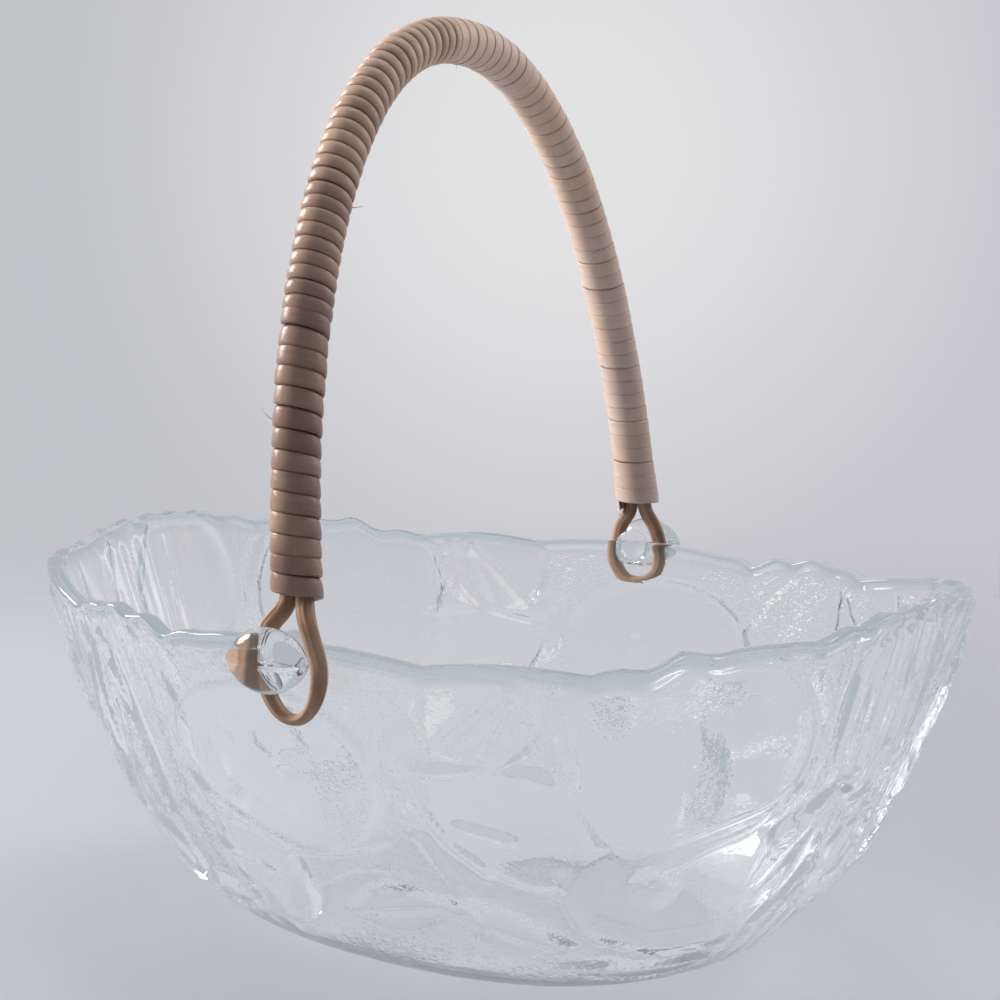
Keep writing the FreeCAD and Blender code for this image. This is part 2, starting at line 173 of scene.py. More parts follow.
# stipple between the forms: what is left of it on a form, and what is left off at the bowl's ends
STIPPLE_ON_FORMS = 0.18
STIPPLE_CALM = 0.8
STIPPLE_GAP = 0.02          # share of the height between the stipple and the land
LOWEST_SHARE = 0.004        # below this share the wall runs too flat to tell its direction
INSIDE_LOWEST = 0.012       # share of the height where the inside's rows end in the floor


def signed_power(value, power):
    """Power of a value that keeps its sign."""
    return np.sign(value) * np.abs(value) ** power


def unit(vectors):
    """Vectors of length one."""
    return vectors / np.linalg.norm(vectors, axis=-1, keepdims=True)


def rim_height(angle):
    """Height of the scalloped rim at each angle round the bowl."""
    first = RIM_LOBES[0]
    starts = np.array([lobe[0] for lobe in RIM_LOBES] + [first[0] + 180.0])
    dips = [lobe[1] for lobe in RIM_LOBES] + [first[1]]
    turn = (np.degrees(angle) - first[0]) % 180.0 + first[0]
    height = SIDE_HEIGHT + np.interp(turn, starts, dips)
    for start, end, lobe in zip(starts, starts[1:], RIM_LOBES):
        share = np.clip((turn - start) / (end - start), 0.0, 1.0)
        height = height + 4 * lobe[2] * share * (1 - share)
    for middle, half_width, painted_light, waves in RIM_WAVES:
        away = (np.degrees(angle) - middle + 90.0) % 180.0 - 90.0
        height = height + painted_light * np.sin(waves * np.radians(away)) * np.exp(-2 * (away / half_width) ** 2)
    return height


def plain_wall(angle, share):
    """Points of the outer wall without its relief, at shares of the rim's height."""
    half_x = BASE_HALF_LENGTH + (BOWL_HALF_LENGTH - BASE_HALF_LENGTH) * share ** LENGTH_FLARE
    half_y = BASE_HALF_WIDTH + (BOWL_HALF_WIDTH - BASE_HALF_WIDTH) * share ** WIDTH_FLARE
    skew = 1 - OVAL_LEAN * np.sin(2 * angle) + OVAL_SHOULDER * np.sin(4 * angle)
    x = skew * half_x * signed_power(np.cos(angle), 2 / OVAL_POWER)
    y = skew * half_y * signed_power(np.sin(angle), 2 / OVAL_POWER)
    return np.stack([x, y, share * rim_height(angle)], axis=-1)


def wall_directions(angle, share):
    """Directions along, up and out of the plain wall."""
    step = 0.02
    along = plain_wall(angle + step, share) - plain_wall(angle - step, share)
    along[..., 2] = 0.0
    along = unit(along)
    up = plain_wall(angle, share + step) - plain_wall(angle, np.maximum(share - step, 0.002))
    up = unit(up)
    up = unit(up - along * np.sum(up * along, axis=-1, keepdims=True))
    return along, up, unit(np.cross(along, up))


def form_height(kind, x, y, half_wide, half_high, proud):
    """Height of one fruit or leaf over the wall, from places in half widths and half heights."""
    if kind == "pear":
        y = y / (1 - PEAR_TAPER * np.clip(x, -1.2, 1.2))
    if kind == "leaf":
        side = y / np.maximum(1 - x * x, 0.001)
        reach = np.where(np.abs(x) < 1, side * side + LEAF_FALL * x * x, 2.0)
    else:
        reach = x * x + y * y
    inside = np.clip(1 - np.sqrt(reach), 0.0, 1.0) * min(half_wide, half_high)
    step = np.clip(inside / EDGE_WIDTH, 0.0, 1.0)
    step = step * step * (3 - 2 * step)
    back = np.clip(1 - reach, 0.0, 1.0) ** FORM_POWER
    height = proud * (EDGE_STEP * step + (1 - EDGE_STEP) * back)
    if kind == "leaf":
        across = np.abs(y) * half_high
        vein = np.exp(-(across / VEIN_WIDTH) ** 2)
        slant = (x * half_wide - LEAF_RIB_SLANT * across) * LEAF_RIB_CLOSENESS
        ribs = np.sin(slant) ** 6 * np.clip(across / 2.0, 0.0, 1.0)
        height = height - step * (VEIN_DEPTH * vein + LEAF_RIB_DEPTH * ribs)
    return height, step


def relief(points):
    """How far the fruit and leaves stand out at each point, and how much of the stipple shows."""
    height = np.zeros(points.shape[:-1])
    bare = np.ones(points.shape[:-1])
    for kind, degrees, share, half_wide, half_high, tilt, proud in RELIEF:
        for half_turn in (0, 180):
            angle = np.array(math.radians(degrees + half_turn))
            along, up, _ = wall_directions(angle, np.array(share))
            turn = math.radians(tilt)
            axis = along * math.cos(turn) + up * math.sin(turn)
            across = up * math.cos(turn) - along * math.sin(turn)
            offset = points - plain_wall(angle, np.array(share))
            near = np.linalg.norm(offset, axis=-1) < FORM_REACH * max(half_wide, half_high)
            x = offset @ axis / half_wide
            y = offset @ across / half_high
            form, cover = form_height(kind, x, y, half_wide, half_high, proud)
            height = np.where(near, np.maximum(height, form), height)
            bare = np.where(near, np.minimum(bare, 1 - cover), bare)
    return height, bare


def stroke_lines():
    """Each stroke as points in space, on both halves of the bowl."""
    lines = []
    for height, width, places in STROKES:
        angles, shares = np.array(places).T
        fine = np.linspace(0, len(places) - 1, 6 * len(places))
        whole = np.arange(len(places))
        for half_turn in (0, 180):
            turns = np.radians(np.interp(fine, whole, angles) + half_turn)
            lines.append((height, width, plain_wall(turns, np.interp(fine, whole, shares))))
    return lines


def strokes(points):
    """Height of the stems, veins and outlines over the wall at each point."""
    total = np.zeros(points.shape[:-1])
    for height, width, line in stroke_lines():
        middle = line.mean(axis=0)
        reach = np.linalg.norm(line - middle, axis=1).max() + 3 * width
        near = np.linalg.norm(points - middle, axis=-1) < reach
        spots = points[near]
        best = np.full(len(spots), 99.0)
        for a, b in zip(line, line[1:]):
            place = np.clip((spots - a) @ (b - a) / np.dot(b - a, b - a), 0.0, 1.0)
            best = np.minimum(best, np.linalg.norm(spots - a - place[:, None] * (b - a), axis=1))
        total[near] += STROKE_GAIN * height * np.exp(-(best / width) ** 2)
    return total


def dimples(points):
    """Hollows at the fruits' blossom ends, with a ring of small flutes in each."""
    total = np.zeros(points.shape[:-1])
    for degrees, share, half_wide, depth in DIMPLES:
        for half_turn in (0, 180):
            angle = np.array(math.radians(degrees + half_turn))
            along, up, _ = wall_directions(angle, np.array(share))
            offset = points - plain_wall(angle, np.array(share))
            x = offset @ along / half_wide
            y = offset @ up / half_wide
            reach = np.sqrt(x * x + y * y)
            flutes = 1 + FLUTE_DEPTH * np.cos(FLUTE_COUNT * np.arctan2(y, x))
            near = (reach < 1) & (np.linalg.norm(offset, axis=-1) < 2 * half_wide)
            hollow = depth * np.clip(1 - reach ** 2, 0.0, None) ** 1.5 * flutes
            total = np.where(near, total - hollow, total)
    return total


def end_ribs(angle, share):
    """Fine upright ribs under the rim at the pointed end of the bowl."""
    away = (np.degrees(angle) - RIB_ANGLE + 180.0) % 360.0 - 180.0
    band = np.exp(-(away / RIB_HALF_WIDTH) ** 4) * np.clip((share - RIB_START) / RIB_FADE, 0.0, 1.0)
    return RIB_PROUD * band * np.sin(RIB_COUNT * angle)


def rim_land(share):
    """Share of the relief that is left under the plain land at the rim."""
    return np.clip((1 - LAND - share) / LAND_FADE, 0.0, 1.0)


def even_shares(rows):
    """Shares of the rim's height that lie evenly up the wall."""
    fine = np.linspace(0.0, 1.0, 2001)
    points = plain_wall(np.full(fine.shape, math.radians(35)), fine)
    length = np.concatenate([[0.0], np.cumsum(np.linalg.norm(np.diff(points, axis=0), axis=1))])
    return np.interp(np.linspace(0.0, length[-1], rows), length, fine)


def bowl_rows():
    """Points of the bowl's skin in rows from the base's middle, up the outside, over the rim and
    down the inside to the floor's middle, with the shares of stipple and of rim at each point."""
    turns = np.linspace(0.0, 2 * math.pi, AROUND + 1)
    top = 1 - RIM_ROUND / (SIDE_HEIGHT + RIM_RISE)
    shares = even_shares(WALL_ROWS) * top
    angle, share = np.meshgrid(turns, shares)
    wall = plain_wall(angle, share)
    out = wall_directions(angle, np.maximum(share, LOWEST_SHARE))[2]
    height, bare = relief(wall)
    height = height + strokes(wall) + dimples(wall) + end_ribs(angle, share)
    height = height * np.clip(share / FOOT_FADE, 0.0, 1.0) * rim_land(share)
    height = height + LAND_PROUD * (1 - rim_land(share))
    outside = wall + out * height[..., None]
    base = outside[0]
    rows = [base * [s, s, 1.0] for s in reversed(FLOOR_SHARES)]
    stipple = [np.zeros(AROUND + 1)] * len(rows)
    rows += list(outside)
    calm = 1 - STIPPLE_CALM * np.abs(np.cos(angle)) ** 6
    stipple += list(np.maximum(bare, STIPPLE_ON_FORMS) * rim_land(share + STIPPLE_GAP) * calm)
    rim = [np.zeros(AROUND + 1)] * len(FLOOR_SHARES) + list(1 - rim_land(share))
    level_out = unit(out[-1] * [1.0, 1.0, 0.0])
    half = (WALL + height[-1][:, None]) / 2
    middle = outside[-1] - level_out * half
    for turn in np.linspace(0.0, math.pi, RIM_ROWS + 1)[1:-1]:
        round_over = signed_power(np.cos(turn), RIM_POWER) * half * level_out
        lift = RIM_ROUND * math.sin(turn) ** RIM_POWER
        rows.append(middle + round_over + [0.0, 0.0, lift])
        stipple.append(np.zeros(AROUND + 1))
        rim.append(np.ones(AROUND + 1))
    inside_shares = even_shares(INSIDE_ROWS)[::-1] * top
    for one in inside_shares[inside_shares > INSIDE_LOWEST]:
        level = np.full(turns.shape, one)
        inner = plain_wall(turns, level) - wall_directions(turns, level)[2] * WALL
        if one == inside_shares[0]:
            inner = middle - half * level_out
        over_floor = (inner[:, 2] - FLOOR) * FLOOR_SOFTNESS
        inner[:, 2] = FLOOR + np.logaddexp(0.0, over_floor) / FLOOR_SOFTNESS
        rows.append(inner)
    last = rows[-1]
    for s in FLOOR_SHARES:
        level = FLOOR + (last[:, 2] - FLOOR) * s ** 3
        rows.append(np.column_stack([last[:, 0] * s, last[:, 1] * s, level]))
    rim.append(np.ones(AROUND + 1))
    stipple += [np.zeros(AROUND + 1)] * (len(rows) - len(stipple))
    rim += [np.zeros(AROUND + 1)] * (len(rows) - len(rim))
    return np.array(rows) * MM, {"stipple": np.array(stipple), "rim": np.array(rim)}


def skin_from_rows(rows):
    """Mesh of an open grid laid over rows of points."""
    count, width = rows.shape[:2]
    shape = bmesh.new()
    bmesh.ops.create_grid(shape, x_segments=width - 1, y_segments=count - 1, size=1.0)
    points = rows.reshape(-1, 3)
    for vert, point in zip(shape.verts, points):
        vert.co = point
    return shape


def finished(name, shape):
    """Object from a closed bmesh, with its faces turned outwards and smooth."""
    bmesh.ops.recalc_face_normals(shape, faces=shape.faces)
    for face in shape.faces:
        face.smooth = True
    mesh = bpy.data.meshes.new(name)
    shape.to_mesh(mesh)
    shape.free()
    made = bpy.data.objects.new(name, mesh)
    bpy.context.scene.collection.objects.link(made)
    return made


def bowl_wall():
    """Closed wall and floor of the bowl, with its masks kept at each point."""
    rows, masks = bowl_rows()
    shape = skin_from_rows(rows)
    for name, values in masks.items():
        layer = shape.verts.layers.float.new(name)
        for vert, value in zip(shape.verts, values.reshape(-1)):
            vert[layer] = value
    bmesh.ops.remove_doubles(shape, verts=shape.verts, dist=2e-6)
    return finished("bowl_wall", shape)


# knobs: a neck and an almond-shaped head on each long side
KNOB_HEIGHT = 91.5
NECK_RADIUS = 4.2
HEAD_CENTRE = 102.9
HEAD_HALF_LENGTH = 11.6
HEAD_HALF_DEPTH = 6.0
HEAD_HALF_HEIGHT = 7.9
HEAD_POINT = 0.42           # how far its section is drawn into points at the seam
SEAM_PROUD = 0.34
SEAM_THICKNESS = 0.55


def knob_head(side):
    """Almond-shaped head with a level mould seam round it."""
    shape = bmesh.new()
    bmesh.ops.create_uvsphere(shape, u_segments=64, v_segments=40, radius=1.0)
    swell = (HEAD_HALF_LENGTH ** 2 + HEAD_HALF_HEIGHT ** 2) / (2 * HEAD_HALF_HEIGHT)
    for vert in shape.verts:
        x = HEAD_HALF_LENGTH * vert.co.z
        share = (math.sqrt(swell ** 2 - x ** 2) - swell) / HEAD_HALF_HEIGHT + 1
        turn = math.atan2(vert.co.y, vert.co.x)
        turn -= HEAD_POINT * math.sin(2 * turn)
        off_seam = HEAD_HALF_HEIGHT * share * math.sin(turn) / SEAM_THICKNESS
        seam = SEAM_PROUD * math.exp(-off_seam ** 2)
        seam *= min(1.0, 8 * share)
        y = (HEAD_HALF_DEPTH * share + seam) * math.cos(turn)
        z = HEAD_HALF_HEIGHT * share * math.sin(turn)
        vert.co = Vector((x, side * HEAD_CENTRE + y, KNOB_HEIGHT + z)) * MM
    bmesh.ops.remove_doubles(shape, verts=shape.verts, dist=1e-6)
    return finished("knob_head", shape)


def knob_neck(side):
    """Round neck with a small swelling where it grows out of the wall."""
    start = BOWL_HALF_WIDTH - WALL / 2
    profile = [(0.0, start), (4.6, start), (5.4, start + 0.7), (5.3, start + 2.4), (4.5, start + 3.6),
               (NECK_RADIUS, start + 5.0), (NECK_RADIUS, HEAD_CENTRE - 4.0), (0.0, HEAD_CENTRE - 3.0)]
    shape = bmesh.new()
    verts = [shape.verts.new(Vector((radius, side * y, KNOB_HEIGHT)) * MM) for radius, y in profile]
    edges = [shape.edges.new(pair) for pair in zip(verts, verts[1:])]
    axis_point = Vector((0, 0, KNOB_HEIGHT)) * MM
    bmesh.ops.spin(
        shape, geom=verts + edges, cent=axis_point, axis=(0, 1, 0), angle=2 * math.pi, steps=48,
        use_merge=True,
    )
    bmesh.ops.remove_doubles(shape, verts=shape.verts, dist=1e-6)
    return finished("knob_neck", shape)


def joined_glass(wall, knobs):
    """One closed body of glass from the wall and the knobs that grow out of it."""
    for knob in knobs:
        union = wall.modifiers.new("union", "BOOLEAN")
        union.operation = "UNION"
        union.solver = "MANIFOLD"
        union.object = knob
    bpy.context.view_layer.update()
    whole = wall.evaluated_get(bpy.context.evaluated_depsgraph_get())
    mesh = bpy.data.meshes.new_from_object(whole)
    mesh.name = "pressed_glass_bowl"
    mesh.materials.clear()
    for part in [wall] + knobs:
        bpy.data.objects.remove(part)
    made = bpy.data.objects.new("pressed_glass_bowl", mesh)
    bpy.context.scene.collection.objects.link(made)
    return made


def new_material(name):
    """Empty material with its output and a Principled shader joined to it."""
    made = bpy.data.materials.new(name)
    made.use_nodes = True
    made.node_tree.nodes.clear()
    output = made.node_tree.nodes.new("ShaderNodeOutputMaterial")
    shader = made.node_tree.nodes.new("ShaderNodeBsdfPrincipled")
    made.node_tree.links.new(shader.outputs["BSDF"], output.inputs["Surface"])
    return made, made.node_tree, shader, output


def add(tree, kind, inputs=(), **settings):
    """Node with its settings, and with sockets set to values or joined to other sockets."""
    made = tree.nodes.new(kind)
    for key, value in settings.items():
        setattr(made, key, value)
    for key, value in dict(inputs).items():
        if isinstance(value, bpy.types.NodeSocket):
            tree.links.new(value, made.inputs[key])
        else:
            made.inputs[key].default_value = value
    return made


def maths(tree, operation, first, second=0.5):
    """Product, sum or other result of two values."""
    return add(tree, "ShaderNodeMath", {0: first, 1: second}, operation=operation).outputs[0]


def spread(tree, value, low, high, to_low=0.0, to_high=1.0, kind="LINEAR"):
    """Value between two limits, spread over a new range."""
    sockets = {"Value": value, 1: low, 2: high, 3: to_low, 4: to_high}
    return add(tree, "ShaderNodeMapRange", sockets, interpolation_type=kind).outputs[0]


def noise(tree, places, scale, detail):
    """Soft noise over places."""
    sockets = {"Vector": places, "Scale": scale, "Detail": detail}
    return add(tree, "ShaderNodeTexNoise", sockets).outputs["Fac"]


def blend(tree, share, first, second):
    """Colour between two colours."""
    return add(tree, "ShaderNodeMix", {0: share, 6: first, 7: second}, data_type="RGBA").outputs[2]


def either(tree, share, first, second):
    """Surface between two surfaces."""
    return add(tree, "ShaderNodeMixShader", {0: share, 1: first, 2: second}).outputs[0]


def bumped(tree, shader, height, strength, distance):
    """Small unevenness of the surface, from a height."""
    bump = add(tree, "ShaderNodeBump", {"Height": height, "Strength": strength, "Distance": distance})
    tree.links.new(bump.outputs["Normal"], shader.inputs["Normal"])


CLEAR = (0.985, 0.993, 0.998, 1.0)
THICK = (0.77, 0.845, 0.875, 1.0)
DEPTH_LIMIT = 5.5           # after more turns of a ray than this, the glass glows with a painted light in place of what it would show
# colour of that painted glow of the glass
PAINTED_DEPTH_GLOW = (0.44, 0.485, 0.515, 1.0)
SHADOW_TINT = (0.985, 0.988, 0.992, 1.0)
STIPPLE_SCALE = 620.0
PATCH_SCALE = 30.0
SWIRL_SCALE = 45.0
SMOOTH = 0.015              # roughness of the fire-polished glass
STIPPLED = 0.14             # roughness where the stipple is fullest


def glass():
    """Clear glass with a faint blue cast in its depth; where a ray has turned too often, the glass glows
    with an even painted light instead. The mould's stipple is a fine bump.
    """
    made, tree, shader, output = new_material("clear_pressed_glass")
    places = add(tree, "ShaderNodeTexCoord").outputs["Object"]
    stipple = add(tree, "ShaderNodeAttribute", attribute_name="stipple").outputs["Fac"]
    grain = noise(tree, places, STIPPLE_SCALE, 2.0)
    patches = noise(tree, places, PATCH_SCALE, 2.0)
    swirl = noise(tree, places, SWIRL_SCALE, 1.0)
    shown = spread(tree, patches, 0.42, 0.58, 0.1, 1.0)
    mask = maths(tree, "MULTIPLY", stipple, shown)
    fine = maths(tree, "MULTIPLY", grain, mask)
    flow = maths(tree, "MULTIPLY", swirl, 0.4)
    bumped(tree, shader, maths(tree, "ADD", fine, flow), 0.8, 0.0006)
    tree.links.new(spread(tree, mask, 0.0, 1.0, SMOOTH, STIPPLED), shader.inputs["Roughness"])
    rim = add(tree, "ShaderNodeAttribute", attribute_name="rim").outputs["Fac"]
    facing = add(tree, "ShaderNodeLayerWeight", {"Blend": 0.5}).outputs["Facing"]
    edge_on = spread(tree, facing, 0.50, 0.98, 0.0, 0.85)
    thick = maths(tree, "MAXIMUM", rim, edge_on)
    tree.links.new(blend(tree, thick, CLEAR, THICK), shader.inputs["Base Color"])
    shader.inputs["IOR"].default_value = 1.45
    shader.inputs["Transmission Weight"].default_value = 1.0
    path = add(tree, "ShaderNodeLightPath")
    late = maths(tree, "GREATER_THAN", path.outputs["Ray Depth"], DEPTH_LIMIT)
    # painted light: an even glow in place of the light that later turns of the ray would bring
    depth = add(tree, "ShaderNodeEmission", {"Color": PAINTED_DEPTH_GLOW}).outputs[0]
    body = either(tree, late, shader.outputs["BSDF"], depth)
    clear = add(tree, "ShaderNodeBsdfTransparent", {"Color": SHADOW_TINT}).outputs[0]
    mixed = either(tree, path.outputs["Is Shadow Ray"], body, clear)
    tree.links.new(mixed, output.inputs["Surface"])
    return made


bowl = joined_glass(bowl_wall(), [make(side) for side in (-1, 1) for make in (knob_neck, knob_head)])
bowl.data.materials.append(glass())
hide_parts("glass_bowl")
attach(bowl, "bowl")

# Cane core and end loops: strands of natural cane that run the length of the handle and are bent
# round the neck of a knob at each end. Only the loops show; they are round, thinner at the bend and
# split along one end, orange-brown with a lengthwise grain and paler blotches.
CORE_RADIUS = 4.85
CORE_INSET = 3.3
STRAND_RADIUS = 2.1
SEAT_SPREAD = 2.2           # half the gap between the two strands where they leave the core
FOOT_SPREAD = 2.25          # and at the foot of the binding
LOOP_HALF_WIDTH = 8.3
LOOP_BEND = 2.5
HANDLE_OFFSET = 1.6
SHOULDERS = [(9.8, 3.2, 0.40), (6.9, 5.8, 1.0)]     # height over the knob, half gap, share of the way out
ARCH_HALF_WIDTH = 93.6
ARCH_SHIFT = 1.5
ARCH_TOP = 241.6
ARCH_SPRING = 80.0
ARCH_POWER = 2.15
FOOT_HEIGHT = 103.5
LEAN = 4.5
CORE_SLACK = 0.3            # how far the hidden core stays inside the strips
LOOP_SMOOTHING = 20         # passes that even out a loop's centre line

# end loops: place along Y, drop to the bottom, offset along X, how thin the strand is at the bottom
NEAR_LOOP = (-95.5, 16.0, 1.2, 0.68)
FAR_LOOP = (95.6, 12.6, 0.4, 0.85)


def arch(turn):
    """Centre line of the upright handle, from the near foot (0) over the top to the far foot (1)."""
    foot = math.asin(((FOOT_HEIGHT - ARCH_SPRING) / (ARCH_TOP - ARCH_SPRING)) ** (ARCH_POWER / 2))
    angle = foot + (math.pi - 2 * foot) * turn
    width = signed_power(np.cos(angle), 2 / ARCH_POWER) * ARCH_HALF_WIDTH
    painted_light = np.sin(angle) ** (2 / ARCH_POWER) * (ARCH_TOP - ARCH_SPRING)
    return np.stack([np.full_like(angle, HANDLE_OFFSET), ARCH_SHIFT - width, ARCH_SPRING + painted_light], axis=-1)


line = arch(np.linspace(0.0, 1.0, 1601))
line_length = np.concatenate([[0.0], np.cumsum(np.linalg.norm(np.diff(line, axis=0), axis=1))])
line_ahead = unit(np.gradient(line, line_length, axis=0))
far_end = line_length[-1]


def on_handle(length, angle, radius):
    """Points at a length along the handle, an angle round it and a distance from its centre line."""
    held = np.clip(length, 0.0, far_end)
    centre = np.stack([np.interp(held, line_length, line[:, k]) for k in range(3)], axis=-1)
    ahead = unit(np.stack([np.interp(held, line_length, line_ahead[:, k]) for k in range(3)], axis=-1))
    out = np.array([1.0, 0.0, 0.0])
    across = np.cross(ahead, out)
    spot = np.cos(angle)[..., None] * out + np.sin(angle)[..., None] * across
    return centre + ahead * (length - held)[..., None] + spot * np.asarray(radius)[..., None]


def leaned(points):
    """Points of the upright handle after it leans about the knobs' axis, in metres."""
    lean = math.radians(LEAN)
    x = points[..., 0] * math.cos(lean) - (points[..., 2] - KNOB_HEIGHT) * math.sin(lean)
    z = points[..., 0] * math.sin(lean) + (points[..., 2] - KNOB_HEIGHT) * math.cos(lean) + KNOB_HEIGHT
    return np.stack([x, points[..., 1], z], axis=-1) * MM


def tube_skin(rows, uv_length):
    """Closed tube over rows of points, with U along it up to a length and V across in its UV map."""
    count, width = rows.shape[:2]
    shape = skin_from_rows(rows)
    uv = shape.loops.layers.uv.new("UVMap")
    for face in shape.faces:
        for loop in face.loops:
            row, column = divmod(loop.vert.index, width)
            loop[uv].uv = (row / (count - 1) * uv_length, column / (width - 1))
    bmesh.ops.remove_doubles(shape, verts=shape.verts, dist=2e-6)
    bmesh.ops.holes_fill(shape, edges=[edge for edge in shape.edges if edge.is_boundary], sides=0)
    return shape


def join(whole, part):
    """Put a part's mesh into the whole."""
    mesh = bpy.data.meshes.new("part")
    part.to_mesh(mesh)
    part.free()
    whole.from_mesh(mesh)


def loop_line(side, count):
    """Centre line of one end loop in the upright handle, as evenly spaced points."""
    loop_y, drop, offset, _ = NEAR_LOOP if side < 0 else FAR_LOOP
    seat = on_handle(np.array(CORE_INSET if side < 0 else far_end - CORE_INSET), np.array(0.0), 0.0)
    foot = line[0] if side < 0 else line[-1]
    middles = [seat, foot]
    spreads = [SEAT_SPREAD, FOOT_SPREAD]
    for height, half_gap, share in SHOULDERS:
        middle = foot + (np.array([offset, loop_y, 0.0]) - foot) * share
        middles.append(np.array([middle[0], middle[1], KNOB_HEIGHT + height]))
        spreads.append(half_gap)
    for degrees in (0, 20, 40, 60, 75, 90):
        angle = math.radians(degrees)
        deep = LOOP_BEND + (drop - LOOP_BEND) * math.sin(angle)
        middles.append(np.array([offset, loop_y, KNOB_HEIGHT - deep]))
        spreads.append(LOOP_HALF_WIDTH * math.cos(angle))
    side_x = np.array([1.0, 0.0, 0.0])
    points = [middle + side_x * half_gap for middle, half_gap in zip(middles, spreads)]
    points += [middle - side_x * half_gap for middle, half_gap in zip(middles[-2::-1], spreads[-2::-1])]
    points = np.array(points)
    steps = np.concatenate([[0.0], np.cumsum(np.linalg.norm(np.diff(points, axis=0), axis=1))])
    fine = np.linspace(0.0, steps[-1], count)
    smooth = np.stack([np.interp(fine, steps, points[:, k]) for k in range(3)], axis=-1)
    for _ in range(LOOP_SMOOTHING):
        smooth[1:-1] += 0.5 * ((smooth[:-2] + smooth[2:]) / 2 - smooth[1:-1])
    return smooth


# strand: depths of the coarse and fine grooves and of the split along it, and how it swells
GROOVE = 0.09
FINE_GROOVE = 0.05
SPLIT = 0.55
SPLIT_WIDTH = 0.03
SWELL = 0.04
FINE_SWELL = 0.03
BEND_SHARE = 0.16


def strand_rows(points, radius, sides, seed, thin):
    """Rings round a strand's centre line, thinner where it is bent and split on one side."""
    ahead = unit(np.gradient(points, axis=0))
    across = unit(np.cross(ahead, [0.0, 1.0, 0.0]))
    out = np.cross(across, ahead)
    turns = np.linspace(0.0, 2 * math.pi, sides + 1)
    run = np.linspace(0.0, 1.0, len(points))[:, None]
    groove = GROOVE * np.cos(7 * turns + seed) + FINE_GROOVE * np.cos(13 * turns + 2 * seed)
    split = -SPLIT * np.exp(-((np.abs(np.sin(turns / 2 + math.pi / 4)) - 1) / SPLIT_WIDTH) ** 2)
    swell = SWELL * np.sin(9 * run + seed) + FINE_SWELL * np.sin(23 * run + 2 * seed)
    size = radius * (1 + swell) + groove[None, :] + split[None, :] * np.clip(8 * run - 5, 0.0, 1.0)
    bent = 1 - (1 - thin) * np.exp(-((run - 0.5) / BEND_SHARE) ** 2)
    return (
        points[:, None, :]
        + across[:, None, :] * (np.cos(turns) * size * bent)[..., None]
        + out[:, None, :] * (np.sin(turns) * size)[..., None]
    )


def cane_grain():
    """Effect for all the cane: fibres along U, blotches of age, slow change from turn to turn, the
    strip's edges, painted light from its shaded lower edge to its lit upper one, and a height."""
    group = bpy.data.node_groups.new("cane_grain", "ShaderNodeTree")
    for name in ("Fibres", "Blotch Scale"):
        group.interface.new_socket(name, in_out="INPUT", socket_type="NodeSocketFloat")
    for name in ("Fibre", "Blotch", "Height", "Turn", "Edge", "Painted Light"):
        group.interface.new_socket(name, in_out="OUTPUT", socket_type="NodeSocketFloat")
    given = add(group, "NodeGroupInput")
    uv = add(group, "ShaderNodeUVMap", uv_map="UVMap").outputs[0]
    parts = add(group, "ShaderNodeSeparateXYZ", {0: uv})
    across = maths(group, "MULTIPLY", parts.outputs["Y"], given.outputs["Fibres"])
    stretched = add(group, "ShaderNodeCombineXYZ", {0: parts.outputs["X"], 1: across}).outputs[0]
    fibre = noise(group, stretched, 1.0, 4.0)
    places = add(group, "ShaderNodeTexCoord").outputs["Object"]
    blotch = noise(group, places, given.outputs["Blotch Scale"], 3.0)
    wide = spread(group, fibre, 0.3, 0.7)
    patch = spread(group, blotch, 0.35, 0.65)
    slow_sockets = {"W": parts.outputs["X"], "Scale": 0.9, "Detail": 1.0}
    slow = add(group, "ShaderNodeTexNoise", slow_sockets, noise_dimensions="1D").outputs["Fac"]
    turn = spread(group, slow, 0.3, 0.7)
    off_middle = maths(group, "SUBTRACT", parts.outputs["Y"], 0.25)
    apart = maths(group, "ABSOLUTE", off_middle)
    edge = spread(group, apart, 0.13, 0.23)
    # painted light: rises from the strip's shaded lower edge to its lit upper edge
    painted_light = spread(group, parts.outputs["Y"], 0.06, 0.42)
    found = {"Fibre": wide, "Blotch": patch, "Height": fibre, "Turn": turn, "Edge": edge, "Painted Light": painted_light}
    result = add(group, "NodeGroupOutput")
    for name, value in found.items():
        group.links.new(value, result.inputs[name])
    return group


cane_effect = cane_grain()
CANE_DARK = (0.15, 0.072, 0.042, 1)
CANE_BROWN = (0.30, 0.160, 0.096, 1)
CANE_PALE = (0.38, 0.225, 0.14, 1)


def bark():
    """Smooth orange-brown cane of the loops."""
    made, tree, shader, _ = new_material("natural_cane")
    sockets = {"Fibres": 14.0, "Blotch Scale": 90.0}
    grain = add(tree, "ShaderNodeGroup", node_tree=cane_effect, inputs=sockets)
    colour = blend(tree, grain.outputs["Fibre"], CANE_DARK, CANE_BROWN)
    aged = blend(tree, grain.outputs["Blotch"], colour, CANE_PALE)
    tree.links.new(aged, shader.inputs["Base Color"])
    bumped(tree, shader, grain.outputs["Height"], 0.5, 0.0004)
    shader.inputs["Roughness"].default_value = 0.42
    return made


def cane_pieces():
    """The hidden core and both loops as one piece."""
    lengths = np.linspace(CORE_INSET, far_end - CORE_INSET, 200)
    turns = np.linspace(0.0, 2 * math.pi, 25)
    length, turn = np.meshgrid(lengths, turns, indexing="ij")
    core = on_handle(length, turn, np.full(length.shape, CORE_RADIUS - CORE_SLACK))
    whole = tube_skin(leaned(core), 20.0)
    for side, loop in ((-1, NEAR_LOOP), (1, FAR_LOOP)):
        rows = leaned(strand_rows(loop_line(side, 120), STRAND_RADIUS, 36, 1.0 + side, loop[3]))
        join(whole, tube_skin(rows, 6.0))
    return finished("cane_core_and_loops", whole)


cane = cane_pieces()
cane.data.materials.append(bark())
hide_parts("cane_frame")
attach(cane, "handle")

